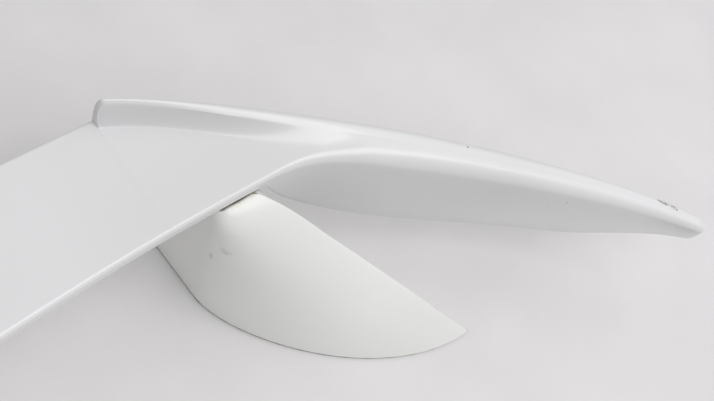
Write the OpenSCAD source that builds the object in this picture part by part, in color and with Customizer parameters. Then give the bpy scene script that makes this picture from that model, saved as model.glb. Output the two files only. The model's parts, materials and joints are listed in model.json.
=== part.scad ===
// Rear wing for a boot lid or hatch: a straight blade whose ends rise into fences and run
// forward as tapering horns, on two hollow fin-shaped legs. Millimetres, +Z up.
// X runs across the car, -Y is forward. The origin is on the mounting face, at the middle
// of the whole wing. Every "left" node is the +X one, on the left of a car that drives to -Y.

/* [Blade] */
// Half width of the straight blade, centre to the fence's rear corner
blade_half = 313; // [300:1:320]
// Height of the blade's top face over the mounting face
blade_top = 150; // [147:1:154]
// Forward edge of the blade, measured behind the origin
lead_y = 63; // [61:1:64]
// How far the leading edge bows forward at the centre
lead_bow = 12; // [0:1:16]
// Rear edge of the blade, measured behind the origin
trail_y = 154; // [150:1:158]
// Thickness at the leading edge
lead_thick = 13; // [12:0.5:15]
// Thickness at the trailing edge
trail_thick = 5; // [4:0.5:6]
// Wall of the laminated skins
skin_wall = 2.5; // [2:0.1:3]

/* [Horns] */
// Height of the fence over the blade at its rear corner
fence_rise = 25; // [20:1:28]
// Width of the fence along its top, at the rear
fence_width = 4.5; // [4:0.5:7]
// Sideways reach of a horn's tip from the centre
tip_x = 708; // [704:1:712]
// Height of a horn's tip over the mounting face
tip_top = 95; // [90:1:98]
// Lowest height of a horn's lower edge
horn_floor = 46; // [42:1:50]
// Thickness of a horn where it leaves the blade
horn_root = 37; // [34:1:39]
// Thickness of a horn at its tip
horn_tip = 11; // [9:0.5:12]

/* [Legs] */
// Inner face of a leg, measured from the centre
leg_x = 344; // [343:1:346]
// Width of a leg's top
leg_width = 40; // [38:1:42]
// Forward edge of a leg's top, behind the origin
leg_front = 60; // [59:1:61]
// Rear edge of a leg's top, behind the origin
leg_rear = 112; // [108:1:114]
// Wall of the moulded leg shell
leg_wall = 3; // [2.5:0.1:3.5]
// Thickness of the foot gasket
gasket = 1.5; // [1:0.1:2]
// Thickness of the seal between a leg and the blade
seal = 1.5; // [1:0.1:2]

/* [Fixings] */
// Tapping radius of the M6 nuts that take the car's screws
anchor_r = 2.5; // [2.45:0.01:2.55]
// Thickness of the base plates
plate = 4; // [3:0.5:5]
// Clearance radius of the holes for M6
clear_r = 3.3; // [3.2:0.05:3.5]

/* [Hidden] */

paint = [0.93, 0.94, 0.94];
steel = [0.62, 0.64, 0.66];
zinc = [0.75, 0.74, 0.66];
foam = [0.90, 0.84, 0.62];
black = [0.08, 0.08, 0.08];
shim = 0.1;

// Outer top edge of a horn seen from above: a cubic curve from the fence's rear corner
tip_y = -147;
edge_curve = [
    [blade_half, trail_y], [blade_half + 107, trail_y - 45],
    [tip_x - 48, tip_y + 80], [tip_x, tip_y]
];
lead_under = blade_top - lead_thick;
fillet = 13;
leg_clear = leg_x + leg_width;
tip_round_at = 0.965;
edge_crown = 0.3;
lift_from = 610;

function clip(t) = max(0, min(1, t));
function smooth(t) = let(c = clip(t)) c * c * (3 - 2 * c);
function mix(a, b, t) = a + (b - a) * t;
function bez(p, t) = pow(1 - t, 3) * p[0] + 3 * pow(1 - t, 2) * t * p[1]
    + 3 * (1 - t) * t * t * p[2] + pow(t, 3) * p[3];
function bez_dir(p, t) = let(d = pow(1 - t, 2) * (p[1] - p[0]) + 2 * (1 - t) * t * (p[2] - p[1])
    + t * t * (p[3] - p[2])) d / norm(d);
function arc(c, r, a0, a1, n) = [for (i = [0:n]) let(a = mix(a0, a1, i / n))
    [c[0] + r * cos(a), c[1] + r * sin(a)]];
function smooth_max(a, b, c) = 0.5 * (a + b + sqrt((a - b) * (a - b) + c * c));

// ---- Stations. u runs from -1 at the centre to 0 at the fence's rear corner, and on to 1
// at the horn's tip. Each station is a vertical section from the inner edge to the outer one.
function outer_at(u) = u < 0 ? [blade_half * (u + 1), trail_y] : bez(edge_curve, u);
function lead_at(u) = lead_y - lead_bow * smooth(-u);
function turn_at(u) = u <= 0 ? -90
    : let(d = bez_dir(edge_curve, u)) mix(-90, atan2(d[1], d[0]) - 90, smooth(u / 0.3));
function width_at(u) = let(a = turn_at(u), o = outer_at(u),
    run = (lead_at(u) - o[1]) / sin(a))
    smooth_max(run, mix(horn_root, horn_tip, clip(u)), fillet) * tip_shrink(u);
function tip_shrink(u) = u < tip_round_at ? 1
    : sqrt(max(0.03, 1 - pow((u - tip_round_at) / (1 - tip_round_at), 2)));
function inset_at(u) = u < tip_round_at ? 0
    : mix(horn_root, horn_tip, u) * (1 - tip_shrink(u)) / 2;
function across_at(u) = let(a = turn_at(u)) [cos(a), sin(a)];
function start_at(u) = outer_at(u) + across_at(u) * (inset_at(u) + width_at(u));

// Heights along the stations
function ridge_full(u) = let(t = clip((outer_at(u)[0] - blade_half) / (tip_x - blade_half)))
    mix(blade_top + fence_rise, tip_top, pow(t, 1.3));
function ridge_raw(u) = u < 0 ? blade_top + edge_crown : ridge_full(u);
function tip_lift(x) = 30 * smooth((x - lift_from) / (tip_x - lift_from));
function low_in_raw(u) = let(x = start_at(u)[0])
    mix(lead_under, horn_floor, 1 - exp(-max(0, x - leg_clear) / 45)) + tip_lift(x);
function low_out_raw(u) = let(x = outer_at(u)[0])
    mix(blade_top - trail_thick, horn_floor + 2, 1 - exp(-max(0, x - leg_clear + 6) / 50))
    + tip_lift(x);
function tip_mid(u) = (ridge_raw(u) + low_in_raw(u)) / 2 + 4;
function ridge_at(u) = mix(tip_mid(u), ridge_raw(u), tip_shrink(u));
function low_in(u) = mix(tip_mid(u), low_in_raw(u), tip_shrink(u));
function low_out(u) = mix(tip_mid(u), low_out_raw(u), tip_shrink(u));
function crown_at(u) = u < 0 ? edge_crown
    : min(mix(2.5, 0.2, smooth((u - 0.22) / 0.25)), 0.25 * width_at(u));
function flat_at(u) = min(blade_top, ridge_at(u) - crown_at(u));

// Sizes of a section's details
function nose_r(u) = mix(3, min(12, 0.5 * width_at(u), 0.27 * (ridge_at(u) - low_in(u))),
    smooth((u - 0.2) / 0.25));
function chin_r(u) = min(5, 0.22 * width_at(u));
function ridge_w(u) = min(0.45 * width_at(u), mix(fence_width, 11, smooth(u / 0.3)));
function soft_at(u) = smooth((u - 0.08) / 0.2);
function cove(u) = 16 * smooth((u - 0.12) / 0.25) + 0.5;
function crease_a(u) = max(nose_r(u) + 0.2,
    width_at(u) - ridge_w(u) - cove(u));
function hollow(u) = 3 * smooth((u - 0.3) / 0.3) * tip_shrink(u);
function knee_a(u) = 0.6 * width_at(u);
function lip(u) = min(11, 0.27 * width_at(u));
function under(u, a) = let(k = knee_a(u), w = width_at(u))
    mix(low_in(u), low_out(u), clip((a - k) / (w - k)));

// Outside of the upper skin, from the lip behind the leading edge, round it and over the top,
// up the fence, down the outer wall and to the lip at the rear
function skin_out(u) = let(w = width_at(u), r = nose_r(u), q = chin_r(u), zi = flat_at(u),
    zl = low_in(u), zr = ridge_at(u), c = crown_at(u), g = ridge_w(u), k = crease_a(u),
    zo = low_out(u))
    concat(
        [[lip(u), zl]],
        arc([q, zl + q], q, 270, 180, 3),
        [for (v = [0.25, 0.5, 0.75]) [hollow(u) * sin(180 * v), mix(zl + q, zi - r, v)]],
        arc([r, zi - r], r, 180, 90, 5),
        [for (v = [0.35, 0.7]) [mix(r, k, v), zi]],
        [for (v = [0:0.25:1]) [k + (w - g - k) * mix(sin(90 * v), v, soft_at(u)),
            mix(zi, zr - c, mix(1 - cos(90 * v), smooth(v), soft_at(u))) + 0.001 * v]],
        [for (v = [0.2:0.2:1]) [w - g + g * v, zr - c * (1 - sin(180 * v))]],
        [for (v = [0.33, 0.66, 0.97]) [w, mix(zr - c, zo + 0.6, v)]],
        [[w - 0.6, zo + 0.05], [w - lip(u), under(u, w - lip(u))]]
    );

// Inside of the upper skin, walked back from the rear lip to the front one
function solid_edge(u) = mix(11, skin_wall, smooth((u - 0.12) / 0.3));
function roof_rise(u) = mix(0, ridge_at(u) - crown_at(u) - flat_at(u), smooth((u - 0.2) / 0.2));
function skin_in(u) = let(w = width_at(u), d = min(skin_wall, 0.2 * w), zi = flat_at(u) - d,
    e = min(solid_edge(u), 0.35 * w), r = max(0.6, nose_r(u) - d), q = max(0.5, chin_r(u) - d),
    zl = low_in(u), m = mix(d + r, w - e, 0.5))
    concat(
        [[w - lip(u), under(u, w - lip(u)) + d]],
        [for (v = [0, 0.5, 1]) [w - e, mix(under(u, w - e) + d + 0.2, zi + roof_rise(u), v)]],
        [[mix(m, w - e, 0.6), zi + 0.6 * roof_rise(u)], [m, zi]],
        arc([d + r, zi - r], r, 90, 180, 4),
        [for (v = [0.75, 0.5, 0.25]) [d + hollow(u) * sin(180 * v),
            mix(zl + d + q, zi - r, v)]],
        arc([d + q, zl + d + q], q, 180, 270, 2),
        [[lip(u), zl + d]]
    );
function panel_ring(u) = let(w = width_at(u), d = min(skin_wall, 0.2 * w), a = lip(u),
    b = w - lip(u), k = knee_a(u))
    [[a, low_in(u)], [a, low_in(u) + d], [k, low_in(u) + d], [b, under(u, b) + d],
     [b, under(u, b)], [k, low_in(u)]];
function core_ring(u) = let(w = width_at(u), e = skin_wall + 3, r = 0.3 * (w - 2 * e),
    top = flat_at(u) - e, base = max(low_in(u), low_out(u)) + e, i = e + hollow(u))
    [[i, base], [i, mix(base, top, 0.5)], [e + 0.5, top - r], [e + 2 * r, top],
     [w - e, top], [w - e, base]];

// Puts a section's points in place; the section runs from the inner edge to the outer one
function placed(u, ring) = let(s = start_at(u), d = -across_at(u))
    [for (p = ring) [s[0] + d[0] * p[0], s[1] + d[1] * p[0], p[1]]];
function flipped(ring) = [for (p = ring) [-p[0], p[1], p[2]]];
function mirrored(half) = concat([for (i = [len(half) - 1:-1:1]) flipped(half[i])], half);

blade_stations = [-1, -0.8, -0.6, -0.4, -0.2, -0.006];
horn_stations = [for (i = [0:27]) i / 27 * tip_round_at];
tip_stations = [for (i = [1:6]) mix(tip_round_at, 1, sin(90 * i / 6))];
stations = concat(blade_stations, horn_stations, tip_stations);

// A closed solid through rings of equal length, capped at both ends
module loft(rings) {
    n = len(rings[0]);
    m = len(rings);
    sides = [for (j = [0:m - 2], i = [0:n - 1]) let(k = (i + 1) % n, a = j * n, b = a + n)
        each [[a + i, a + k, b + k], [a + i, b + k, b + i]]];
    first = [for (i = [n - 1:-1:0]) i];
    last = [for (i = [0:n - 1]) (m - 1) * n + i];
    polyhedron(points = [for (r = rings) each r], faces = concat(sides, [first, last]));
}

// The same through rings that come back to the first one, with no caps
module loft_round(rings) {
    n = len(rings[0]);
    m = len(rings);
    polyhedron(points = [for (r = rings) each r],
        faces = [for (j = [0:m - 1], i = [0:n - 1]) let(k = (i + 1) % n, a = j * n,
            b = ((j + 1) % m) * n) each [[a + i, a + k, b + k], [a + i, b + k, b + i]]]);
}

// ---- Legs
leg_top = lead_under - seal;
leg_tip = [515, -92];
side_end = 54;
foot_curve = [[leg_x + 7, 5], [427, -89]];
nose_y = leg_front - 6;
roll_r = 9;
roll_h = 16;
lip_in = 3;
corner_r = 6;
foot_spread = [4, 10];
bolt_x = leg_x + leg_width / 2;
top_bolt_y = [leg_front + 18, leg_rear - 18];
anchors = [[bolt_x, leg_rear - 10], [412, -22]];
nut_h = 4.8;
anchor_h = 8;
collar_r = 4;
collar_gap = 0.3;
washer_h = 1.6;
flange = 4;
flange_top = leg_top - leg_wall - 4;
pad = [14, 26];

// A leg's outline at height fraction h, 0 at the foot and 1 at the top, drawn in by d. It
// goes down the straight inner side, round the front to the fin's point, and back outside.
function leg_point(h, d) = mix(leg_tip, [leg_x + leg_width, nose_y], h)
    + d * mix([-2, 1], [-1, 1], h);
function leg_front_curve(h, d) = let(x = leg_x + d, y = nose_y - 0.5 + d)
    [[x, mix(side_end, nose_y + 9 + d, h)], mix(foot_curve[0] + [d, 0], [x, y], h),
     mix(foot_curve[1] + [0.2 * d, d], [x + 14, y], h), leg_point(h, d)];
function leg_outline(h, d) = let(front = leg_front_curve(h, d), tip = leg_point(h, d),
    side = leg_x + leg_width + foot_spread[0] * (1 - h) - d,
    back = leg_rear + foot_spread[1] * (1 - h) - d, r = max(2, corner_r - 0.3 * d),
    bulge = [side + 0.55 * (tip[0] - side) + 9 * (1 - h), mix(nose_y, tip[1], 0.42)],
    outer = [tip + [0.5, 0.5], bulge, mix(bulge, [side, nose_y + 6 + d], 0.5),
        [side, nose_y + 14 + d]])
    concat(
        arc([leg_x + d + r, back - r], r, 90, 180, 4),
        [for (v = [0.33, 0.66]) [leg_x + d, mix(back - r, front[0][1], v)]],
        [for (v = [0:1 / 14:0.999]) bez(front, v)],
        [for (v = [0:0.18:0.9]) bez(outer, v)],
        [[side, mix(outer[3][1], back - r, 0.3)]],
        arc([side - r, back - r], r, 0, 90, 4)
    );
function at_z(ring, z) = [for (p = ring) [p[0], p[1], z]];
function turned(ring) = [for (i = [len(ring) - 1:-1:0]) ring[i]];
function frac(z) = clip((z - gasket) / (leg_top - gasket));
function roll_in(z) = let(t = clip((z - leg_top) / roll_h + 1))
    roll_r * (1 - sqrt(1 - 0.96 * t * t));
function leg_ring(z, d) = at_z(leg_outline(frac(z), d + roll_in(z)), z);

leg_heights = [for (i = [0:9]) mix(gasket, leg_top - roll_h, i / 9)];
roll_heights = [for (i = [1:5]) leg_top - roll_h * (1 - sin(90 * i / 5))];
shell_rings = concat(
    [for (z = concat(leg_heights, roll_heights)) leg_ring(z, 0)],
    [for (z = [leg_top, leg_top - leg_wall]) at_z(leg_outline(1, roll_r + lip_in), z)],
    [leg_ring(leg_top - 2 * leg_wall, leg_wall)],
    [for (i = [9:-1:0]) leg_ring(leg_heights[i], leg_wall)]
);

module sides(left) {
    if (left)
        children();
    else
        mirror([1, 0, 0]) children();
}
module both_sides() {
    sides(true) children();
    sides(false) children();
}
// What goes through the opening in a leg's top, as a box from one height to another
module pad_box(z0, z1, spare) {
    translate([bolt_x - pad[0] / 2 - spare, mix(top_bolt_y[0], top_bolt_y[1], 0.5)
        - pad[1] / 2 - spare, z0])
        cube([pad[0] + 2 * spare, pad[1] + 2 * spare, z1 - z0]);
}
module bolt_holes(z0, z1) {
    for (y = top_bolt_y)
        translate([bolt_x, y, z0])
            cylinder(r = clear_r, h = z1 - z0, $fn = 32);
}

module upper_skin() {
    color(paint)
        loft(mirrored([for (u = stations) placed(u, concat(skin_out(u), skin_in(u)))]));
}
module lower_skin() {
    color(paint)
        difference() {
            loft(mirrored([for (u = stations) placed(u, panel_ring(u))]));
            both_sides()
                bolt_holes(lead_under - 1, lead_under + skin_wall + 3);
        }
}
// Closed-cell foam strip bonded between the skins along the blade
module blade_core() {
    core_base = lead_under + skin_wall + shim;
    core_roof = blade_top - skin_wall - shim;
    color(foam)
        translate([-blade_half, 0, 0])
            rotate([90, 0, 90])
                linear_extrude(2 * blade_half)
                    polygon([
                        [lead_y + 12, core_base], [lead_y + 50, core_base],
                        [trail_y - 16, core_roof - 2.4], [trail_y - 16, core_roof],
                        [lead_y + 12, core_roof]
                    ]);
}
module horn_core(left) {
    color(foam)
        sides(left)
            loft([for (i = [0:10]) let(u = mix(0.42, 0.78, i / 10)) placed(u, core_ring(u))]);
}
// Steel plate laminated over the lower skin, where a leg bolts on
module insert_plate(left) {
    color(zinc)
        sides(left)
            difference() {
                translate([leg_x + 2, leg_front + 7, lead_under + skin_wall])
                    cube([leg_width - 4, leg_rear - leg_front - 7, 2.5]);
                bolt_holes(lead_under, lead_under + 10);
            }
}
module insert_nuts() {
    color(zinc)
        both_sides()
            for (y = top_bolt_y)
                translate([bolt_x, y, lead_under + skin_wall + 2.5])
                    difference() {
                        cylinder(r = 6.2, h = nut_h, $fn = 6);
                        translate([0, 0, -1])
                            cylinder(r = 3, h = nut_h + 2, $fn = 32);
                    }
}
module top_bolts() {
    head_z = flange_top - flange - washer_h;
    color(steel)
        both_sides()
            for (y = top_bolt_y)
                translate([bolt_x, y, 0]) {
                    translate([0, 0, head_z - 4])
                        cylinder(r = 5.8, h = 4, $fn = 6);
                    translate([0, 0, head_z - shim])
                        cylinder(r = 2.98, h = lead_under + skin_wall + 7 - head_z, $fn = 32);
                }
}
module top_washers() {
    color(steel)
        both_sides()
            for (y = top_bolt_y)
                translate([bolt_x, y, flange_top - flange - washer_h])
                    difference() {
                        cylinder(r = 6.4, h = washer_h, $fn = 48);
                        translate([0, 0, -1])
                            cylinder(r = 3.2, h = 4, $fn = 32);
                    }
}
// Thin black foam that closes the joint between a leg and the blade
module top_seal(left) {
    color(black)
        sides(left)
            difference() {
                translate([leg_x + 6, leg_front + 6, leg_top])
                    cube([leg_width - 12, leg_rear - leg_front - 12, seal]);
                pad_box(leg_top - 1, lead_under + 1, shim);
            }
}
module leg_shell(left) {
    color(paint)
        sides(left)
            loft_round([for (r = shell_rings) turned(r)]);
}
// Folded steel bracket inside a leg: a foot, an upright web and a top flange, with a
// raised pad that goes up through the leg's top and the seal to carry the blade
screw_y = [leg_front + 15, leg_front + 29];
module leg_bracket(left) {
    web = 3;
    base = gasket + plate;
    color(steel)
        sides(left)
            difference() {
                union() {
                    translate([leg_x + 7.5, leg_front + 8, flange_top - flange])
                        cube([leg_width - 15, leg_rear - leg_front - 16, flange]);
                    translate([leg_x + 7.5, leg_front + 8, base])
                        cube([web, leg_rear - leg_front - 16, flange_top - base]);
                    translate([leg_x + 7.5, leg_front + 8, base])
                        cube([leg_width - 15, leg_rear - leg_front - 30, web]);
                    pad_box(flange_top - flange, lead_under, 0);
                }
                bolt_holes(flange_top - flange - 1, lead_under + 1);
                for (y = screw_y)
                    translate([bolt_x + 2, y, base - 1])
                        cylinder(r = 2.75, h = web + 2, $fn = 32);
            }
}
module bracket_screws() {
    base = gasket + plate;
    color(zinc)
        both_sides()
            for (y = screw_y)
                translate([bolt_x + 2, y, 0]) {
                    translate([0, 0, base + 3])
                        cylinder(r = 4.6, h = 3, $fn = 48);
                    translate([0, 0, gasket + 0.5])
                        cylinder(r = 2.48, h = plate + 3, $fn = 32);
                }
}
module base_plate(left) {
    color(steel)
        sides(left)
            difference() {
                translate([0, 0, gasket])
                    linear_extrude(plate)
                        polygon(leg_outline(frac(gasket + plate), leg_wall + 0.6));
                for (p = anchors)
                    translate([p[0], p[1], 0])
                        cylinder(r = collar_r + shim, h = 20, $fn = 48);
                for (y = screw_y)
                    translate([bolt_x + 2, y, 0])
                        cylinder(r = 2.5, h = 20, $fn = 32);
            }
}
// M6 nuts that take the screws from inside the boot lid. Each has a collar that is pressed
// through the base plate and stops just short of the lid, so the gasket can't be crushed.
module anchor_nuts() {
    base = gasket + plate;
    color(zinc)
        both_sides()
            for (p = anchors)
                translate([p[0], p[1], 0])
                    difference() {
                        union() {
                            translate([0, 0, base])
                                cylinder(r = 6, h = anchor_h, $fn = 6);
                            translate([0, 0, collar_gap])
                                cylinder(r = collar_r, h = base + 1 - collar_gap, $fn = 48);
                        }
                        translate([0, 0, -1])
                            cylinder(r = anchor_r, h = base + anchor_h + 2, $fn = 48);
                    }
}
module foot_gasket(left) {
    color(black)
        sides(left)
            difference() {
                linear_extrude(gasket)
                    polygon(leg_outline(0, 0.3));
                for (p = anchors)
                    translate([p[0], p[1], -1])
                        cylinder(r = collar_r + shim, h = gasket + 2, $fn = 48);
            }
}

upper_skin();
lower_skin();
blade_core();
horn_core(true);  // horn_core_left
horn_core(false);  // horn_core_right
insert_plate(true);  // insert_plate_left
insert_plate(false);  // insert_plate_right
insert_nuts();
top_bolts();
top_washers();
top_seal(true);  // top_seal_left
top_seal(false);  // top_seal_right
leg_shell(true);  // leg_shell_left
leg_shell(false);  // leg_shell_right
leg_bracket(true);  // leg_bracket_left
leg_bracket(false);  // leg_bracket_right
bracket_screws();
base_plate(true);  // base_plate_left
base_plate(false);  // base_plate_right
anchor_nuts();
foot_gasket(true);  // foot_gasket_left
foot_gasket(false);  // foot_gasket_right
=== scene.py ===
# %% [markdown]
# # A painted rear wing, from its frame to its finish
# The wing is a straight blade with a raised fence on each end. Each fence runs forward and
# outwards as a tapering horn, and two hollow fins carry the blade over the boot lid. The
# frame holds every solid at its real size. This notebook makes the four painted shells
# again as fine surfaces, finishes all the other parts, and lights them in a plain studio.

# %% Load the frame
import json
import math

import bpy
import numpy as np
from mathutils import Matrix, Vector


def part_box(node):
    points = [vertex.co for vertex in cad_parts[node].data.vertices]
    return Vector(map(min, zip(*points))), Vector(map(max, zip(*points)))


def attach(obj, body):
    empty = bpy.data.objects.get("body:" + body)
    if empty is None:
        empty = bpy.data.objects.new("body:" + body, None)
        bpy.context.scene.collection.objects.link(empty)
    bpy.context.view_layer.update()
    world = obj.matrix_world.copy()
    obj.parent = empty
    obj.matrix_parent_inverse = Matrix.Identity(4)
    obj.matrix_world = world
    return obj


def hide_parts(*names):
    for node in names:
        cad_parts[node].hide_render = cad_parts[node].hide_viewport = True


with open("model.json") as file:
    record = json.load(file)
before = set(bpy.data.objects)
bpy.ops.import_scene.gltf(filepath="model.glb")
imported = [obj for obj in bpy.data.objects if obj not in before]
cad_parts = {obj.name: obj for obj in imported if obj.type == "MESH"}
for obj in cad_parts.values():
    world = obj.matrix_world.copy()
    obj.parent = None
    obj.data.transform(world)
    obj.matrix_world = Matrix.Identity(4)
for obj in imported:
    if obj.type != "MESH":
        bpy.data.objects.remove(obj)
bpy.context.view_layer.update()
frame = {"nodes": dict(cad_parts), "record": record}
nodes = frame["nodes"]
print("nodes in the frame:", len(nodes))

# %% [markdown]
# ## Sizes
# A laminated wing is drawn from a handful of lines: where the leading and trailing edges
# run, how high the fence stands, how thick a horn is. They are given in millimetres, as a
# mould maker would. The rear line, the fence's top and the legs' heights are read from the
# frame's own boxes, so that the fine surface stays with the solid that it stands for.

# %% Driving sizes, in millimetres
MM = 0.001
skin_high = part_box("upper_skin")[1] / MM
shell_low, shell_high = [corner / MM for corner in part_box("leg_shell_left")]
blade_half = 313.0
blade_top = 150.0
lead_y = 63.0
lead_bow = 12.0
lead_thick = 13.0
trail_thick = 5.0
skin_wall = 2.5
leg_wide = 40.0
horn_root = 37.0
horn_tip = 11.0
horn_floor = 46.0
trail_y = skin_high[1]
fence_top = skin_high[2]
tip_x = 708.0
tip_y = -147.0
tip_top = 95.0
tip_round_at = 0.965
tip_rise = 30.0
tip_rise_from = 610.0
fence_corner = 5.0
fence_before = 2.0
corner_u = -0.006
sharp_angle = math.radians(38)
print("wing reaches", round(skin_high[0]), "mm to each side and", round(fence_top), "mm up")

# %% [markdown]
# ## Small formulas
# Three formulas carry the whole shape. `mix` goes straight from one value to another,
# `ease` starts and ends a change gently, and a cubic Bezier curve bends between four
# points. All of them take whole arrays, so no loop ever walks over the points.


# %% Formulas used by every surface
def mix(a, b, t):
    """The value a plus the fraction t of the way from a to b."""
    return a + (b - a) * t


def ease(t):
    """Three t squared minus two t cubed, with t held between 0 and 1."""
    c = np.clip(t, 0, 1)
    return c * c * (3 - 2 * c)


def bezier(p, t):
    """The four points weighted by the terms of (1 - t + t) cubed."""
    t = np.asarray(t)[..., None]
    s = 1 - t
    return s**3 * p[0] + 3 * s * s * t * p[1] + 3 * s * t * t * p[2] + t**3 * p[3]


def heading(p, t):
    """The angle of the curve's direction, which is the derivative of the cubic."""
    t = np.asarray(t)[..., None]
    s = 1 - t
    d = s * s * (p[1] - p[0]) + 2 * s * t * (p[2] - p[1]) + t * t * (p[3] - p[2])
    return np.arctan2(d[..., 1], d[..., 0])


# %% [markdown]
# ## A loft
# A skin laid over ribs is a loft: every station along the part has a ring with the same
# number of points, and faces join each ring to the next. The grid of points becomes one
# mesh in a single step. Open lofts are closed by a flat cap at each end.


# %% Make a mesh from rings
def loft_piece(name, rings, joined=False):
    """Points (stations, ring, 3) in mm. A face joins points i and i+1 of rings j and j+1."""
    rows, count = rings.shape[:2]
    here = np.arange(count)
    after = (here + 1) % count
    first = np.arange(rows if joined else rows - 1)[:, None]
    second = (first + 1) % rows
    quads = np.stack([first * count + here, second * count + here,
                      second * count + after, first * count + after], axis=-1)
    faces = quads.reshape(-1, 4).tolist()
    if not joined:
        faces += [here.tolist(), ((rows - 1) * count + here[::-1]).tolist()]
    mesh = bpy.data.meshes.new(name)
    mesh.from_pydata((rings.reshape(-1, 3) * MM).tolist(), [], faces)
    mesh.shade_smooth()
    mesh.set_sharp_from_angle(angle=sharp_angle)
    piece = bpy.data.objects.new(name, mesh)
    bpy.context.scene.collection.objects.link(piece)
    print(name, "has", len(mesh.polygons), "faces")
    return piece


# %% [markdown]
# ## Where the sections stand
# The number u runs along half a wing: from -1 at the centre to 0 at the rear corner of the
# fence, then to 1 at the tip of the horn. The outer edge follows a curve, and each section
# reaches inwards from it, straight forward on the blade and square to the edge on the horn.
# Where the leading edge meets the horn, a smooth maximum of two widths leaves a fillet.

# %% Plan of the wing
first_handle = (107.0, -45.0)
last_handle = (-48.0, 80.0)
edge_curve = np.array([
    [blade_half, trail_y],
    [blade_half + first_handle[0], trail_y + first_handle[1]],
    [tip_x + last_handle[0], tip_y + last_handle[1]],
    [tip_x, tip_y],
])


def outer_at(u):
    """Along the trailing edge up to u = 0, and then along the edge curve."""
    on_blade = np.stack([blade_half * (u + 1), np.full_like(u, trail_y)], axis=-1)
    on_horn = bezier(edge_curve, np.clip(u, 0, 1))
    return np.where((u < 0)[..., None], on_blade, on_horn)


def across_at(u):
    """Unit direction from the outer edge inwards: forward, easing to the edge's normal."""
    square = heading(edge_curve, np.clip(u, 0, 1)) - math.pi / 2
    turn = mix(-math.pi / 2, square, ease(u / 0.3))
    return np.stack([np.cos(turn), np.sin(turn)], axis=-1)


def tip_shrink(u):
    """One along the wing, and a quarter circle's height over the last rounded stretch."""
    t = np.clip((u - tip_round_at) / (1 - tip_round_at), 0, 1)
    return np.sqrt(np.maximum(0.03, 1 - t * t))


def width_at(u):
    """Smooth maximum of the run to the leading edge and the horn's own thickness."""
    fillet = 13.0
    lead = lead_y - lead_bow * ease(-u)
    run = (lead - outer_at(u)[..., 1]) / across_at(u)[..., 1]
    horn = mix(horn_root, horn_tip, np.clip(u, 0, 1))
    return 0.5 * (run + horn + np.sqrt((run - horn) ** 2 + fillet**2)) * tip_shrink(u)


def start_at(u):
    """The section's inner end, drawn in a little where the tip is rounded."""
    spare = mix(horn_root, horn_tip, u) * (1 - tip_shrink(u)) / 2
    spare = np.where(u < tip_round_at, 0, spare)
    return outer_at(u) + across_at(u) * (spare + width_at(u))[..., None]


# %% [markdown]
# ## Heights
# The blade's top is flat. The fence jumps up at its rear corner, with a rounded end, and its
# crest then falls towards the tip. Under the horn the skin drops away quickly just past the
# leg, as an exponential curve does, because the horn has to reach down beside the lid.


# %% Heights along the wing
def fence_rise(u):
    """A quarter circle's height over a short run across the fence's corner, then one."""
    t = np.clip((outer_at(u)[..., 0] - blade_half + fence_before) / fence_corner, 0, 1)
    return np.sqrt(1 - (1 - t) ** 2)


def crest_at(u):
    """The fence's top, falling as the 1.3 power of the way to the tip."""
    t = np.clip((outer_at(u)[..., 0] - blade_half) / (tip_x - blade_half), 0, 1)
    risen = np.where(u < corner_u, 0, fence_rise(u))
    return mix(blade_top, mix(fence_top, tip_top, t**1.3), risen)


def tip_lift(x):
    """How far the lower edge rises again near the tip."""
    return tip_rise * ease((x - tip_rise_from) / (tip_x - tip_rise_from))


def fall(from_z, to_z, x, length):
    """An exponential fall over the given length, which starts beside the leg."""
    clear = shell_low[0] + leg_wide
    return mix(from_z, to_z, 1 - np.exp(-np.maximum(0, x - clear) / length)) + tip_lift(x)


def heights(u):
    """Crest, inner lower edge and outer lower edge, all drawn together at the tip."""
    crest = crest_at(u)
    inner = fall(blade_top - lead_thick, horn_floor, start_at(u)[..., 0], 45)
    outer = fall(blade_top - trail_thick, horn_floor + 2, outer_at(u)[..., 0] + 6, 50)
    middle = (crest + inner) / 2 + 4
    k = tip_shrink(u)
    return mix(middle, crest, k), mix(middle, inner, k), mix(middle, outer, k)


# %% [markdown]
# ## One section, outside and inside
# A section is a chain of short stretches: the lip under the nose, the round chin, the face,
# the round top edge, the flat top, the cove at the foot of the fence, the fence's crest, its
# outer wall and the rear lip. Each stretch is an array of (distance, height) pairs for all
# stations at once. The inside follows a wall's thickness further in, as laminate does.


# %% Stretches of a section
crown_on_fence = 2.5
crown_on_horn = 0.2
nose_on_blade = 3.0
nose_on_horn = 12.0
ridge_on_fence = 4.5
ridge_on_horn = 11.0
cove_at_corner = 4.0
cove_growth = 12.0
face_hollow = 3.0
lip_wide = 11.0
chin_round = 5.0


def stretch(a, z):
    """Joins distances and heights into pairs, for every station and every point of it."""
    a, z = np.broadcast_arrays(a, z)
    return np.stack([a, z], axis=-1)


def corner(a, z, radius, start, end, count):
    """Points of a circle about (a, z), from one angle to the other, in degrees."""
    angle = np.radians(np.linspace(start, end, count))[None]
    return stretch(a + radius * np.cos(angle), z + radius * np.sin(angle))


def steps(count, ends=True):
    """Even fractions from 0 to 1, with or without the two ends."""
    t = np.linspace(0, 1, count + (0 if ends else 2))
    return (t if ends else t[1:-1])[None]


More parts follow.
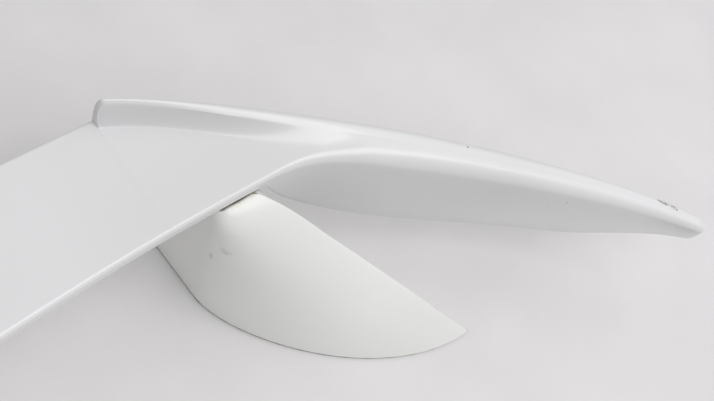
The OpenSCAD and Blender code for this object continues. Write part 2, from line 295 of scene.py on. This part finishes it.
def section_sizes(u):
    """Everything that a section needs, as columns with one row for each station."""
    w = width_at(u)
    crest, low, back = heights(u)
    crown = np.minimum(mix(crown_on_fence, crown_on_horn, ease((u - 0.22) / 0.25)), 0.25 * w)
    crown = np.where(u < -0.0061, 0.02, crown)
    grown = np.minimum(np.minimum(nose_on_horn, 0.5 * w), 0.27 * (crest - low))
    nose = mix(nose_on_blade, grown, ease((u - 0.2) / 0.25))
    ridge = np.minimum(0.45 * w, mix(ridge_on_fence, ridge_on_horn, ease(u / 0.3)))
    cove = cove_at_corner + cove_growth * ease((u - 0.02) / 0.35)
    sizes = dict(
        w=w, crest=crest, low=low, back=back, crown=crown, nose=nose, ridge=ridge,
        chin=np.minimum(chin_round, 0.22 * w), flat=np.minimum(blade_top, crest - crown),
        crease=np.maximum(nose + 0.2, w - ridge - cove),
        hollow=face_hollow * ease((u - 0.3) / 0.3) * tip_shrink(u),
        lip=np.minimum(lip_wide, 0.27 * w), knee=0.6 * w,
        soft=0.8 * ease((u - 0.05) / 0.4),
        drop=np.minimum(mix(1.0, 3.0, ease((u - 0.1) / 0.25)), 0.2 * w),
    )
    return {key: value[:, None] for key, value in sizes.items()}


def under(s, a):
    """Height of the underside: level as far as the knee, then up to the rear edge."""
    return mix(s["low"], s["back"], np.clip((a - s["knee"]) / (s["w"] - s["knee"]), 0, 1))


def outside(s):
    """The painted side, from the front lip round the nose, over the top and down the back."""
    inner_crest = s["w"] - s["ridge"]
    shoulder = s["crest"] - s["crown"]
    v, wall = steps(14), steps(10, ends=False)
    cove_in = mix(s["crease"], inner_crest, mix(np.sin(v * math.pi / 2), v, s["soft"]))
    cove_up = mix(s["flat"], shoulder, mix(1 - np.cos(v * math.pi / 2), ease(v), s["soft"]))
    tail = np.minimum(1.5, 0.2 * s["chin"] + 0.4)
    return np.concatenate([
        stretch(mix(s["lip"], s["chin"], steps(3)[:, :-1]), s["low"]),
        corner(s["chin"], s["low"] + s["chin"], s["chin"], 270, 180, 9),
        stretch(s["hollow"] * np.sin(math.pi * wall),
                mix(s["low"] + s["chin"], s["flat"] - s["nose"], wall)),
        corner(s["nose"], s["flat"] - s["nose"], s["nose"], 180, 90, 13),
        stretch(mix(s["nose"], s["crease"], steps(8, ends=False)), s["flat"]),
        stretch(cove_in, cove_up),
        stretch(inner_crest + s["ridge"] * v[:, 1:], shoulder
                + s["crown"] * np.sin(math.pi * v[:, 1:]) - s["drop"] * v[:, 1:] ** 6),
        stretch(s["w"], mix(shoulder - s["drop"], s["back"] + tail, wall)),
        corner(s["w"] - tail, s["back"] + tail, tail, 0, -90, 5),
        stretch(s["w"] - s["lip"], under(s, s["w"] - s["lip"])),
    ], axis=1)


def inside(s, u):
    """The laminate's inner side, walked back from the rear lip to the front one."""
    d = np.minimum(skin_wall, 0.2 * s["w"])
    solid = np.minimum(mix(11, skin_wall, ease((u - 0.12) / 0.3))[:, None], 0.35 * s["w"])
    rise = (s["crest"] - s["crown"] - s["flat"]) * ease((u - 0.2) / 0.2)[:, None]
    roof = s["flat"] - d
    nose = np.maximum(0.6, s["nose"] - d)
    chin = np.maximum(0.5, s["chin"] - d)
    edge = s["w"] - solid
    middle = (d + nose + edge) / 2
    rear_lip = s["w"] - s["lip"]
    wall = steps(6, ends=False)[:, ::-1]
    return np.concatenate([
        stretch(rear_lip, under(s, rear_lip) + d),
        stretch(edge, mix(under(s, edge) + d + 0.2, roof + rise, steps(4))),
        stretch(mix(middle, edge, 0.6), roof + 0.6 * rise),
        stretch(middle, roof),
        corner(d + nose, roof - nose, nose, 90, 180, 6),
        stretch(d + s["hollow"] * np.sin(math.pi * wall),
                mix(s["low"] + d + chin, roof - nose, wall)),
        corner(d + chin, s["low"] + d + chin, chin, 180, 270, 4),
        stretch(s["lip"], s["low"] + d),
    ], axis=1)


# %% [markdown]
# ## The painted blade and horns
# Sections stand close together where the shape turns quickly: at the fence's rear corner and
# round the tip. The half wing is then mirrored by writing its rings in the other order with
# X negated, which keeps every face looking outwards, and both halves become one skin.

# %% Place the sections and loft the wing
u_blade = np.linspace(-1, -0.0065, 46)
u_corner = np.linspace(corner_u, 0, 6)
u_fence = np.linspace(0.001, 0.016, 9)
u_horn = np.linspace(0.02, tip_round_at, 165)
u_tip = mix(tip_round_at, 1, np.sin(np.linspace(0, math.pi / 2, 19)[1:]))
stations = np.concatenate([u_blade, u_corner, u_fence, u_horn, u_tip])


def place(u, pairs):
    """Turns (distance, height) pairs into points: the start plus the distance outwards."""
    plan = start_at(u)[:, None] - across_at(u)[:, None] * pairs[..., :1]
    return np.concatenate([plan, pairs[..., 1:]], axis=-1)


def both_halves(half):
    """The half's rings from the far tip inwards with X negated, then the half itself."""
    other = half[:0:-1] * np.array([-1.0, 1.0, 1.0])
    return np.concatenate([other, half])


sizes = section_sizes(stations)
wing_rings = place(stations, np.concatenate([outside(sizes), inside(sizes, stations)], axis=1))
wing_shell = loft_piece("painted_wing_shell", both_halves(wing_rings))

# %% [markdown]
# ## The underside panel
# A hollow laminate comes out of two moulds. The panel that closes it from below sits between
# the two lips of the upper skin, flush with them, so a fine joint line runs along both edges.
# It is drawn in by two tenths of a millimetre to leave that line open.

# %% Loft the underside panel
panel_gap = 0.2
panel_d = np.minimum(skin_wall, 0.2 * sizes["w"])
panel_a = sizes["lip"] + panel_gap
panel_b = sizes["w"] - sizes["lip"] - panel_gap
across_panel = mix(panel_a, panel_b, steps(13))
panel_pairs = np.concatenate([
    stretch(across_panel[:, ::-1], under(sizes, across_panel[:, ::-1])),
    stretch(across_panel, under(sizes, across_panel) + panel_d),
], axis=1)
underside = loft_piece("underside_panel", both_halves(place(stations, panel_pairs)))

# %% [markdown]
# ## The legs
# From above, a leg is a straight box under the blade that runs out into a pointed fin. From
# the foot up, the point draws back along a straight ridge until only the box is left. Each
# level is an outline of the same kind, so the leg is a loft of outlines. The corners are
# softened by a running average along the outline, which leaves straight stretches alone.
# The outer curve also follows the hollow corner at the rear more closely than the frame's
# flat facet does, so at the foot the base plate and the gasket stand out a little there.

# %% Leg sizes
leg_x = shell_low[0]
leg_front = 54.0
leg_rear = 112.0
leg_wall = 3.0
foot_z = shell_low[2]
leg_top = shell_high[2]
leg_tip = np.array([515.0, -92.0])
roll = 9.0
roll_height = 16.0
nose_start = 54.0
nose_bulge = (7.0, 5.0)
nose_reach = (427.0, -89.0)
print("legs stand", round(leg_top), "mm high on a foot", round(shell_high[1] - shell_low[1]),
      "mm long")


# %% [markdown]
# ## One level of a leg
# The nose and the outer side are two Bezier curves, and two quarter circles round the rear
# corners. The chain is measured along its length and cut again into even steps, because a
# loft needs the same number of points at every height.


# %% Outline of a leg at one height
def circle_part(x, y, radius, start, end):
    """Eight points of a circle about (x, y) between two angles in degrees."""
    angle = np.radians(np.linspace(start, end, 8))
    return np.stack([x + radius * np.cos(angle), y + radius * np.sin(angle)], axis=1)


def outline_at(h, d, count=240):
    """Side, nose, ridge and outer side at height fraction h, drawn in by d, evenly spaced."""
    tip = mix(leg_tip, np.array([leg_x + leg_wide, leg_front]), h)
    tip = tip + d * mix(np.array([-2.0, 1.0]), np.array([-1.0, 1.0]), h)
    x, y = leg_x + d, leg_front - 0.5 + d
    nose = np.array([
        [x, mix(nose_start, leg_front + 9 + d, h)],
        mix(np.array([leg_x + nose_bulge[0] + d, nose_bulge[1]]), np.array([x, y]), h),
        mix(np.array([nose_reach[0] + 0.2 * d, d + nose_reach[1]]), np.array([x + 14, y]), h),
        tip,
    ])
    side = leg_x + leg_wide + 4 * (1 - h) - d
    back = leg_rear + 10 * (1 - h) - d
    r = max(2.0, 6 - 0.3 * d)
    bulge = np.array([side + 0.55 * (tip[0] - side) + 9 * (1 - h), mix(leg_front, tip[1], 0.42)])
    heel = np.array([side, leg_front + 6 + d])
    outer = np.array([tip + 0.5, bulge, mix(bulge, heel, 0.5), heel + np.array([0, 8])])
    points = np.concatenate([
        circle_part(x + r, back - r, r, 90, 180),
        bezier(nose, np.linspace(0, 1, 90)),
        bezier(outer, np.linspace(0, 1, 70)),
        circle_part(side - r, back - r, r, 0, 90),
    ])
    closed = np.concatenate([points, points[:1]])
    run = np.concatenate([[0], np.cumsum(np.linalg.norm(np.diff(closed, axis=0), axis=1))])
    even = np.linspace(0, run[-1], count, endpoint=False)
    ring = np.stack([np.interp(even, run, closed[:, k]) for k in range(2)], axis=1)
    return softened(ring, run[-1] / count, tip)


def softened(ring, spacing, sharp_point, reach=4.5):
    """A running average over 2 x reach mm, much weaker within 14 mm of the fin's point."""
    half = max(1, int(round(reach / spacing)))
    average = sum(np.roll(ring, k, axis=0) for k in range(-half, half + 1)) / (2 * half + 1)
    near = np.exp(-(np.linalg.norm(ring - sharp_point, axis=1) / 14) ** 2)[:, None]
    return mix(average, ring, near * 0.7)


def level(z, d):
    """The outline at height z, drawn in by d and by the nearly quarter round top edge."""
    h = np.clip((z - foot_z) / (leg_top - foot_z), 0, 1)
    over = np.clip((z - leg_top) / roll_height + 1, 0, 1)
    ring = outline_at(h, d + roll - roll * math.sqrt(1 - 0.96 * over * over))
    return np.concatenate([ring, np.full((len(ring), 1), z)], axis=1)


# %% [markdown]
# ## From levels to two legs
# The levels go up the outside, over the rolled top edge and down the inside, so one closed
# loft makes wall and rim together. The right leg is the left one with X negated.

# %% Loft both legs
straight = np.linspace(foot_z, leg_top - roll_height, 44)
rolled = leg_top - roll_height * (1 - np.sin(np.linspace(0, math.pi / 2, 16)[1:]))
top_ring = outline_at(1.0, roll + 3.0)
rim = [np.concatenate([top_ring, np.full((len(top_ring), 1), z)], axis=1)
       for z in (leg_top, leg_top - leg_wall)]
levels = [level(z, 0.0) for z in np.concatenate([straight, rolled])] + rim
levels += [level(z, leg_wall) for z in np.linspace(leg_top - 2 * leg_wall, foot_z, 16)]
leg_rings = np.stack(levels)[:, ::-1]
leg_left = loft_piece("painted_leg_left", leg_rings[::-1], joined=True)
leg_right = loft_piece("painted_leg_right", leg_rings * np.array([-1.0, 1.0, 1.0]), joined=True)


# %% [markdown]
# ## Which way the faces look
# A shell that is inside out looks right in a render and prints wrong. The signed volume of a
# closed mesh tells: each triangle and the origin make a small tetrahedron, and the sum is
# positive when the faces look outwards.


# %% Turn any shell that is inside out
def signed_volume(mesh):
    """A sixth of the sum of the triple products of every triangle's corners."""
    mesh.calc_loop_triangles()
    points = np.empty(len(mesh.vertices) * 3)
    corners = np.empty(len(mesh.loop_triangles) * 3, dtype=np.int32)
    mesh.vertices.foreach_get("co", points)
    mesh.loop_triangles.foreach_get("vertices", corners)
    a, b, c = points.reshape(-1, 3)[corners.reshape(-1, 3)].transpose(1, 0, 2)
    return float(np.einsum("ij,ij->i", a, np.cross(b, c)).sum() / 6)


for piece in (wing_shell, underside, leg_left, leg_right):
    if signed_volume(piece.data) < 0:
        piece.data.flip_normals()
        piece.data.set_sharp_from_angle(angle=sharp_angle)
        print(piece.name, "was turned")
    print(piece.name, "holds", round(signed_volume(piece.data) * 1e6), "cubic centimetres")

# %% [markdown]
# ## Material helpers
# Colours are written as sRGB hex, because that is how paint charts give them, and turned to
# the linear values that a shader needs. One function adds a node, sets it and links it, so
# each material below reads as a list of what the surface has.


# %% Colour and node helpers
def linear(code):
    """sRGB to linear: the 2.4 power above the short straight part near black."""
    values = [int(code[i:i + 2], 16) / 255 for i in (1, 3, 5)]
    return [v / 12.92 if v <= 0.04045 else ((v + 0.055) / 1.055) ** 2.4 for v in values] + [1.0]


def add(tree, kind, inputs=None, **settings):
    """Adds a node, applies its settings, and sets or links each of its named inputs."""
    node = tree.nodes.new(kind)
    for key, value in settings.items():
        setattr(node, key, value)
    for key, value in (inputs or {}).items():
        if isinstance(value, bpy.types.NodeSocket):
            tree.links.new(value, node.inputs[key])
        else:
            node.inputs[key].default_value = value
    return node


def new_material(name, **shader):
    """A material with one Principled shader, whose constant values are set on its sockets."""
    material = bpy.data.materials.new(name)
    material.use_nodes = True
    tree = material.node_tree
    tree.nodes.clear()
    surface = add(tree, "ShaderNodeBsdfPrincipled", shader)
    add(tree, "ShaderNodeOutputMaterial", {"Surface": surface.outputs["BSDF"]})
    place_node = add(tree, "ShaderNodeTexCoord")
    return material, tree, surface, place_node.outputs["Object"]


def noise(tree, where, size_mm, detail=2.0, rough=0.5):
    """Noise whose blobs are about size_mm across; its scale is in repeats per metre."""
    return add(tree, "ShaderNodeTexNoise", {
        "Vector": where, "Scale": 1000.0 / size_mm, "Detail": detail, "Roughness": rough,
    }).outputs["Fac"]


def between(tree, value, low, high, to_low=0.0, to_high=1.0):
    """Takes the span low to high onto the span to_low to to_high, and holds it there."""
    return add(tree, "ShaderNodeMapRange", {
        "Value": value, "From Min": low, "From Max": high, "To Min": to_low, "To Max": to_high,
    }, clamp=True).outputs["Result"]


def blend(tree, amount, first, second):
    """Goes from the first colour to the second by the amount."""
    return add(tree, "ShaderNodeMix", {
        0: amount, 6: first, 7: second,
    }, data_type="RGBA").outputs[2]


def combine(tree, how, first, second):
    """One sum of arithmetic on two values."""
    return add(tree, "ShaderNodeMath", {0: first, 1: second}, operation=how).outputs[0]


def spot(tree, where, centre, radii, soft=0.35):
    """One inside an ellipsoid about the centre, fading to zero at its surface; metres."""
    moved = add(tree, "ShaderNodeVectorMath", {0: where, 1: centre}, operation="SUBTRACT")
    scaled = add(tree, "ShaderNodeVectorMath", {0: moved.outputs[0], 1: radii},
                 operation="DIVIDE")
    length = add(tree, "ShaderNodeVectorMath", {0: scaled.outputs[0]}, operation="LENGTH")
    return between(tree, length.outputs["Value"], 1.0, 1.0 - soft, 0.0, 1.0)


# %% [markdown]
# ## Gloss white paint
# The wing is two-pack white over laminate. Sprayed paint dries with orange peel, a ripple
# about 2 mm long that breaks up reflections. Used paint also has pinholes of dirt, hairline
# scratches that run every way, and a yellow-grey film where hands and rain leave it. The
# marks stay faint: they take the edge off a white that would otherwise look computed.


# %% White paint
def white_paint(name, clean, dull, marks=()):
    """Gloss two-pack paint, sprayed: clear coat over a fine ripple, with faint dirt and the
    marks given, which can hold painted shade.
    """
    material, tree, surface, where = new_material(
        name, **{"Metallic": 0.0, "IOR": 1.5, "Coat Weight": 0.30, "Coat Roughness": 0.14})
    film = between(tree, noise(tree, where, 170, 1.0, 0.5), 0.30, 0.75)
    colour = blend(tree, film, linear(clean), linear(dull))
    dust = between(tree, noise(tree, where, 1.2, 1.0, 0.5), 0.66, 0.80, 0.0, 0.05)
    colour = blend(tree, dust, colour, linear("#b9b7ae"))
    cells = add(tree, "ShaderNodeTexVoronoi", {"Vector": where, "Scale": 34.0})
    kept = between(tree, add(tree, "ShaderNodeSeparateColor", {
        "Color": cells.outputs["Color"]}).outputs[0], 0.80, 0.81)
    pit = between(tree, cells.outputs["Distance"], 0.016, 0.024, 1.0, 0.0)
    specks = combine(tree, "MULTIPLY", pit, kept)
    colour = blend(tree, combine(tree, "MULTIPLY", specks, 0.55), colour, linear("#6f6a60"))
    long_way = add(tree, "ShaderNodeMapping", {
        "Vector": where, "Rotation": (0.3, 0.5, 0.7), "Scale": (22.0, 700.0, 700.0)})
    hair = add(tree, "ShaderNodeTexNoise", {
        "Vector": long_way.outputs[0], "Scale": 1.0, "Detail": 1.0}).outputs["Fac"]
    scratches = between(tree, hair, 0.76, 0.79)
    colour = blend(tree, combine(tree, "MULTIPLY", scratches, 0.06), colour, linear("#a9aaa9"))
    # A mark may be painted shade: the legs' dark band darkens the gap under the blade.
    for centre, radii, tone, strength, grain in marks:
        patch = spot(tree, where, centre, radii)
        broken = between(tree, noise(tree, where, grain, 3.0, 0.7), 0.36, 0.60)
        amount = combine(tree, "MULTIPLY", combine(tree, "MULTIPLY", patch, broken), strength)
        colour = blend(tree, amount, colour, linear(tone))
    tree.links.new(colour, surface.inputs["Base Color"])
    sheen = between(tree, noise(tree, where, 45, 1.0, 0.5), 0.3, 0.7, 0.29, 0.36)
    tree.links.new(sheen, surface.inputs["Roughness"])
    peel = noise(tree, where, 2.2, 1.0, 0.4)
    bump = add(tree, "ShaderNodeBump", {
        "Strength": 0.10, "Distance": 0.00025, "Height": peel})
    tree.links.new(bump.outputs["Normal"], surface.inputs["Normal"])
    tree.links.new(bump.outputs["Normal"], surface.inputs["Coat Normal"])
    print(name, "has", len(tree.nodes), "nodes")
    return material


# %% [markdown]
# ## Marks of use, and painted shade at the seam
# A mark is an ellipsoid in the paint's own space, broken up by noise: its centre, its radii
# in metres, its tone, its strength and its grain in millimetres. A row of them makes the
# rubbed line near the tip. A long dark one on the leg is painted shade: it darkens the gap
# where leg meets blade and stands in for the black seal hidden there.

# %% Marks and the two paints
chip_from = np.array([0.6735, -0.1085, 0.1035])
chip_to = np.array([0.6845, -0.1220, 0.1006])
wing_marks = [
    (tuple(mix(chip_from, chip_to, t)), (0.0016, 0.0027, 0.0016), "#4d4a44", 0.75, 7.0)
    for t in (0.0, 0.17, 0.34, 0.5, 0.67, 0.84, 1.0)
]
wing_marks += [
    ((0.6050, -0.0640, 0.0958), (0.0012, 0.0010, 0.0012), "#5e5a52", 0.80, 1.0),
    ((0.5977, -0.0570, 0.0828), (0.0009, 0.0009, 0.0009), "#6e6a62", 0.80, 1.0),
    ((0.5348, 0.0092, 0.1366), (0.0012, 0.0012, 0.0012), "#5e5a52", 0.80, 1.0),
    ((0.3640, 0.0640, 0.1370), (0.0240, 0.0040, 0.0020), "#8b7f63", 0.50, 4.0),
]
leg_marks_and_seam_shade = [
    ((0.3507, 0.0493, 0.0990), (0.0060, 0.0060, 0.0050), "#b3b0a8", 0.45, 4.0),
    ((0.3455, 0.0562, 0.0820), (0.0014, 0.0025, 0.0062), "#96938b", 0.60, 1.6),
    ((0.3650, 0.0630, 0.1355), (0.0230, 0.0050, 0.0022), "#b5a57d", 0.35, 9.0),
    # Painted shade: a dark band on the leg under the leading edge, for the shadowed gap and the
    # black seal hidden there.
    ((0.3620, 0.0655, 0.1350), (0.0300, 0.0042, 0.0030), "#3c372f", 0.95, 80.0),
]
paint_wing = white_paint("two_pack_white_paint_sprayed", "#e3e3e5", "#dcdcdd", wing_marks)
# The legs' copy of the same white is made lighter as painted light, so the legs read brighter
# than the blade.
paint_leg_lightened = white_paint("two_pack_white_paint_legs_lightened", "#edeeec", "#e6e7e4", leg_marks_and_seam_shade)

# %% [markdown]
# ## The other finishes
# The underside has the same paint, thinner and drier, so it is duller. Gaskets are closed
# cell rubber, matt and full of fine pores. Fixings are zinc plated, with a faint yellow
# passivate that drifts in tone. The brackets and base plates are black electrocoat, an even
# satin film. The cores are cut from rigid foam, so their faces show open cells.


# %% Underside paint, rubber, zinc, electrocoat and foam
def thin_paint():
    """White paint sprayed thin on the underside: rougher, greyer, with a coarse texture."""
    material, tree, surface, where = new_material(
        "two_pack_white_paint_thin", **{"IOR": 1.5, "Coat Weight": 0.15, "Coat Roughness": 0.3})
    tone = between(tree, noise(tree, where, 60, 5.0, 0.65), 0.35, 0.7)
    tree.links.new(blend(tree, tone, linear("#dddfdf"), linear("#cfd0cc")),
                   surface.inputs["Base Color"])
    tree.links.new(between(tree, noise(tree, where, 12, 3.0), 0.3, 0.7, 0.38, 0.52),
                   surface.inputs["Roughness"])
    bump = add(tree, "ShaderNodeBump", {
        "Strength": 0.25, "Distance": 0.0003, "Height": noise(tree, where, 1.8, 3.0, 0.6)})
    tree.links.new(bump.outputs["Normal"], surface.inputs["Normal"])
    return material


def cell_rubber():
    """Closed-cell rubber, skived: matt black with pores about half a millimetre wide."""
    material, tree, surface, where = new_material(
        "closed_cell_rubber_black", **{"IOR": 1.52, "Specular IOR Level": 0.3})
    pores = noise(tree, where, 0.6, 4.0, 0.7)
    tree.links.new(blend(tree, between(tree, pores, 0.35, 0.65), linear("#0b0b0a"),
                         linear("#1c1b1a")), surface.inputs["Base Color"])
    tree.links.new(between(tree, pores, 0.3, 0.7, 0.75, 0.92), surface.inputs["Roughness"])
    bump = add(tree, "ShaderNodeBump", {"Strength": 0.5, "Distance": 0.0003, "Height": pores})
    tree.links.new(bump.outputs["Normal"], surface.inputs["Normal"])
    return material


def zinc_plate():
    """Steel, zinc plated and passivated: a metal with a faint yellow drift and fine grain."""
    material, tree, surface, where = new_material("zinc_plated_steel", **{"Metallic": 1.0})
    drift = between(tree, noise(tree, where, 7, 3.0), 0.35, 0.65)
    tree.links.new(blend(tree, drift, linear("#c9c8c0"), linear("#c4bb94")),
                   surface.inputs["Base Color"])
    grain = noise(tree, where, 0.5, 3.0, 0.6)
    tree.links.new(between(tree, grain, 0.3, 0.7, 0.28, 0.45), surface.inputs["Roughness"])
    bump = add(tree, "ShaderNodeBump", {"Strength": 0.15, "Distance": 0.0001, "Height": grain})
    tree.links.new(bump.outputs["Normal"], surface.inputs["Normal"])
    return material


def electrocoat():
    """Black electrocoat on pressed steel: an even satin film with rubbed, greyer patches."""
    material, tree, surface, where = new_material(
        "electrocoat_black", **{"IOR": 1.5, "Coat Weight": 0.2, "Coat Roughness": 0.35})
    rubbed = between(tree, noise(tree, where, 18, 5.0, 0.7), 0.55, 0.75)
    tree.links.new(blend(tree, rubbed, linear("#17181a"), linear("#34353a")),
                   surface.inputs["Base Color"])
    tree.links.new(between(tree, noise(tree, where, 9, 3.0), 0.3, 0.7, 0.35, 0.5),
                   surface.inputs["Roughness"])
    bump = add(tree, "ShaderNodeBump", {
        "Strength": 0.15, "Distance": 0.0002, "Height": noise(tree, where, 1.2, 2.0)})
    tree.links.new(bump.outputs["Normal"], surface.inputs["Normal"])
    return material


def cut_foam():
    """Rigid closed-cell foam, cut: pale straw with cells about a millimetre across."""
    material, tree, surface, where = new_material(
        "rigid_foam_cut", **{"IOR": 1.4, "Specular IOR Level": 0.25})
    cells = add(tree, "ShaderNodeTexVoronoi", {"Vector": where, "Scale": 900.0})
    depth = cells.outputs["Distance"]
    tree.links.new(blend(tree, between(tree, depth, 0.1, 0.7), linear("#d9c78f"),
                         linear("#b9a56b")), surface.inputs["Base Color"])
    tree.links.new(between(tree, depth, 0.1, 0.7, 0.8, 0.95), surface.inputs["Roughness"])
    bump = add(tree, "ShaderNodeBump", {"Strength": 0.6, "Distance": 0.0004, "Height": depth})
    tree.links.new(bump.outputs["Normal"], surface.inputs["Normal"])
    return material


finish_of = {
    "laminate": thin_paint(),
    "black_rubber": cell_rubber(),
    "zinc_steel": zinc_plate(),
    "coated_steel": electrocoat(),
    "core_foam": cut_foam(),
}
print("finishes made:", ", ".join(sorted(finish_of)))

# %% [markdown]
# ## Dress the parts
# The record says which finish each node has. The four painted shells replace their solids,
# and all the other nodes keep their shape and only get a better surface.

# %% Assign the finishes
slot_of = {part["node"]: part["material_slot"] for part in frame["record"]["subparts"]}
shells = [
    (wing_shell, "upper_skin", paint_wing),
    (underside, "lower_skin", finish_of["laminate"]),
    (leg_left, "leg_shell_left", paint_leg_lightened),
    (leg_right, "leg_shell_right", paint_leg_lightened),
]
for piece, node_name, finish in shells:
    piece.data.materials.append(finish)
    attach(piece, "root")
    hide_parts(node_name)

replaced = [node_name for _, node_name, _ in shells]
for node_name, solid in nodes.items():
    if node_name not in replaced:
        solid.data.materials.clear()
        solid.data.materials.append(finish_of[slot_of[node_name]])
print("dressed", len(nodes) - len(replaced), "solids and", len(shells), "shells")

# %% [markdown]
# ## Floor
# White on white is all about soft light. The floor is a wide, plain, pale sheet, which throws
# light back under the blade. It is a backdrop only, not a part of the wing.

# %% Floor
floor_mesh = bpy.data.meshes.new("floor")
half_floor = 30.0
floor_mesh.from_pydata([(-half_floor, -half_floor, 0), (half_floor, -half_floor, 0),
                        (half_floor, half_floor, 0), (-half_floor, half_floor, 0)],
                       [], [(0, 1, 2, 3)])
floor = bpy.data.objects.new("floor", floor_mesh)
bpy.context.scene.collection.objects.link(floor)
floor_finish, floor_tree, floor_shader, floor_where = new_material(
    "studio_floor_matt", **{"Roughness": 0.75, "Specular IOR Level": 0.2})
floor_tone = between(floor_tree, noise(floor_tree, floor_where, 90, 3.0), 0.35, 0.65)
floor_tree.links.new(blend(floor_tree, floor_tone, linear("#e3e1e2"), linear("#dfddde")),
                     floor_shader.inputs["Base Color"])
floor.data.materials.append(floor_finish)

# %% [markdown]
# ## Lights and world
# A large, high panel ahead of the wing makes the tops the brightest faces and lets the
# upright faces fall to a light grey. A weaker one stands beside it and a weak one behind,
# and the room's own pale light fills the shadows.


# %% Lights and world
def panel_light(name, place_m, aim_m, size_m, watts):
    """A rectangular area light at one point that faces another."""
    lamp = bpy.data.lights.new(name, "AREA")
    lamp.shape = "RECTANGLE"
    lamp.size, lamp.size_y = size_m
    lamp.energy = watts
    holder = bpy.data.objects.new(name, lamp)
    holder.location = place_m
    holder.rotation_euler = (Vector(aim_m) - Vector(place_m)).to_track_quat("-Z", "Y").to_euler()
    bpy.context.scene.collection.objects.link(holder)


panel_light("front_panel", (0.75, -1.15, 2.3), (0.4, 0.0, 0.1), (2.2, 1.7), 37.0)
panel_light("side_panel", (2.1, -0.2, 2.1), (0.45, 0.0, 0.1), (1.7, 1.7), 10.0)
panel_light("rear_panel", (0.4, 1.6, 1.9), (0.3, 0.0, 0.1), (2.4, 1.6), 4.0)
world = bpy.data.worlds.new("pale_room")
world.use_nodes = True
world.node_tree.nodes["Background"].inputs["Color"].default_value = linear("#f6f6f5")
world.node_tree.nodes["Background"].inputs["Strength"].default_value = 0.42
bpy.context.scene.world = world
bpy.context.scene.view_settings.view_transform = "Standard"

# %% [markdown]
# ## Camera
# The camera hangs ahead of the blade near the middle of the car. It looks outwards, back and
# steeply down at the left end of the wing, and it is rolled by about thirty degrees. Its
# three axes are worked out from those angles and put straight into its matrix.

# %% Camera
eye = Vector((0.134, -0.108, 0.649))
look_heading = math.radians(23.2)
look_down = math.radians(57.64)
look_roll = math.radians(30.81)
level_ahead = Vector((math.cos(look_heading), math.sin(look_heading), 0))
ahead = level_ahead * math.cos(look_down) - Vector((0, 0, 1)) * math.sin(look_down)
right = Vector((math.sin(look_heading), -math.cos(look_heading), 0))
above = right.cross(ahead)
rolled_right = right * math.cos(look_roll) + above * math.sin(look_roll)
rolled_up = above * math.cos(look_roll) - right * math.sin(look_roll)
camera_data = bpy.data.cameras.new("camera")
camera_data.sensor_width = 36.0
camera_data.lens = 44.7
camera_data.clip_start = 0.01
camera = bpy.data.objects.new("camera", camera_data)
turn = Matrix((rolled_right, rolled_up, -ahead)).transposed().to_4x4()
camera.matrix_world = Matrix.Translation(eye) @ turn
bpy.context.scene.collection.objects.link(camera)
bpy.context.scene.camera = camera
print("camera at", tuple(round(v, 3) for v in eye))
